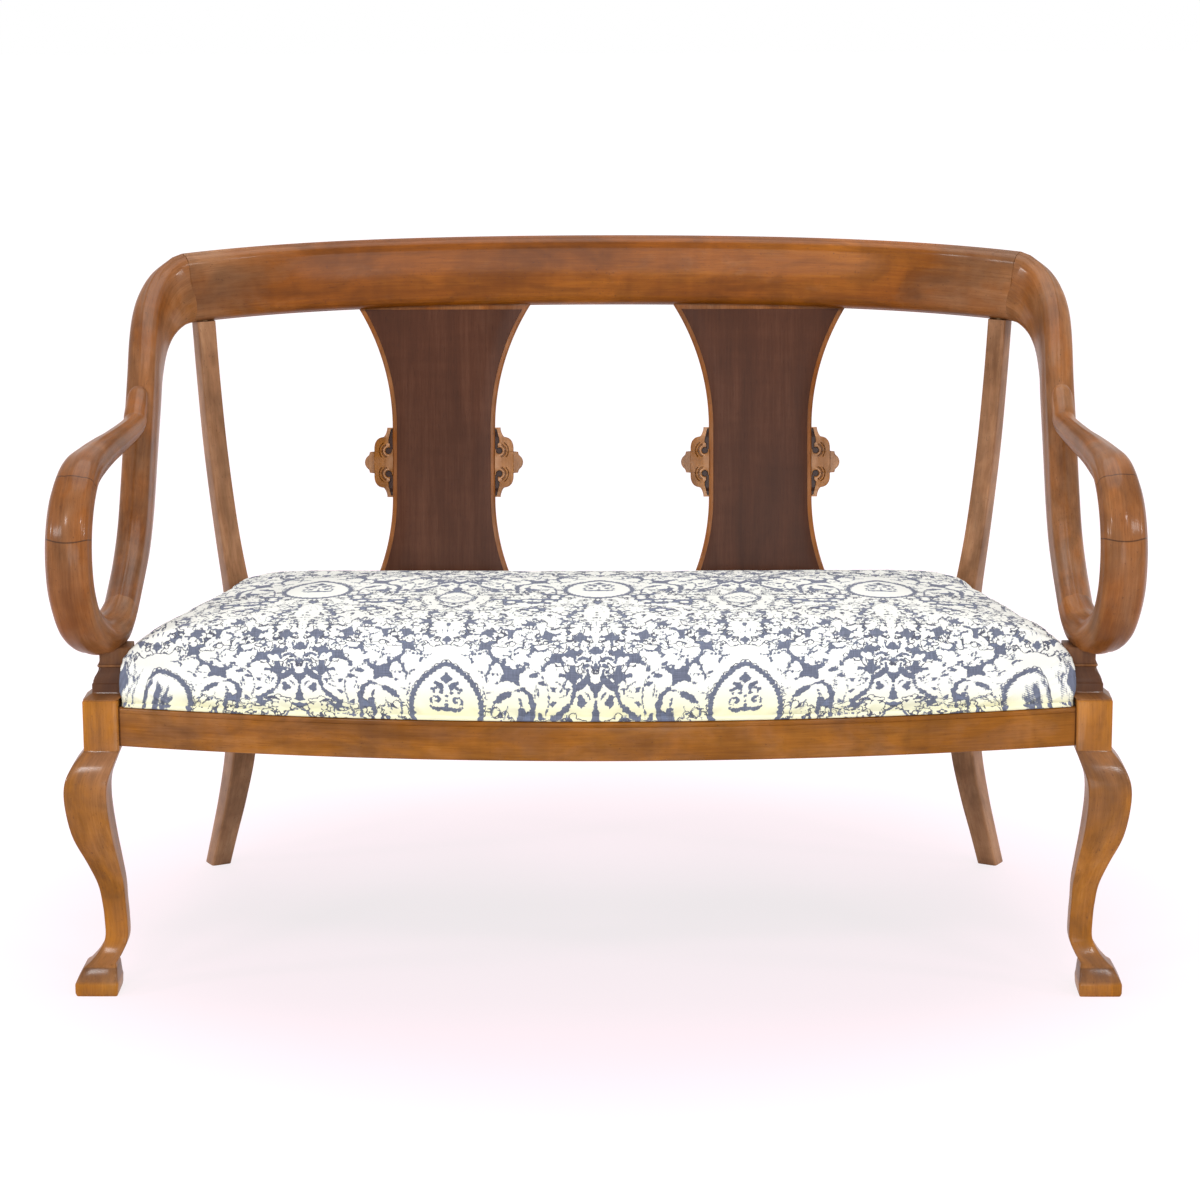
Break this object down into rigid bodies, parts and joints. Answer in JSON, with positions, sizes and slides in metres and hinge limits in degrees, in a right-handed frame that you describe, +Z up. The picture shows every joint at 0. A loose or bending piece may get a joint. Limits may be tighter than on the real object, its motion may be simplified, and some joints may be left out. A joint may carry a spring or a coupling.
{
  "type": "settee",
  "caption": "Open-back settee with a bowed crest rail that sweeps down into scrolled arms, waisted splats with pierced carvings, cabriole front legs and a crowned damask seat.",
  "frame": {"origin": "on the floor, under the middle of the bounding box", "axes": "+Z up, +Y towards the back of the settee, +X along its length, to the right as seen from the front, so the front faces -Y"},
  "size_m": [1.2934, 0.6718, 0.85],
  "materials": {
    "show_wood": "lacquered, satin gloss",
    "dark_veneer": "lacquered veneer, satin",
    "inner_wood": "raw",
    "screw_steel": "plain",
    "spring_steel": "coppered wire",
    "jute_webbing": "coarse weave",
    "hessian": "coarse weave",
    "stuffing": "hair and cotton",
    "damask": "woven damask, cream foliage on slate blue",
    "welt_cord": "covered double cord",
    "black_lining": "thin plain cloth"
  },
  "bodies": {
    "root": {"front_rail": "show_wood", "back_rail": "show_wood", "side_rail_left": "show_wood", "side_rail_right": "show_wood", "front_leg_left": "show_wood", "front_leg_right": "show_wood", "rear_leg_left": "show_wood", "rear_leg_right": "show_wood", "crest_rail": "show_wood", "arm_stile_left": "show_wood", "arm_stile_right": "show_wood", "scroll_arm_left": "show_wood", "scroll_arm_right": "show_wood", "thumb_plug_left": "dark_veneer", "thumb_plug_right": "dark_veneer", "splat_left": "show_wood", "splat_right": "show_wood", "splat_facing_left": "dark_veneer", "splat_facing_right": "dark_veneer", "carving_left_outer": "show_wood", "carving_left_inner": "show_wood", "carving_right_outer": "show_wood", "carving_right_inner": "show_wood", "corner_blocks_front": "inner_wood", "corner_blocks_rear": "inner_wood", "corner_screws": "screw_steel", "joint_dowels": "inner_wood", "webbing_long": "jute_webbing", "webbing_cross": "jute_webbing", "coil_springs": "spring_steel", "spring_cloth": "hessian", "seat_padding": "stuffing", "seat_cover": "damask", "seat_welt": "welt_cord", "dust_cloth": "black_lining"}
  },
  "joints": []
}
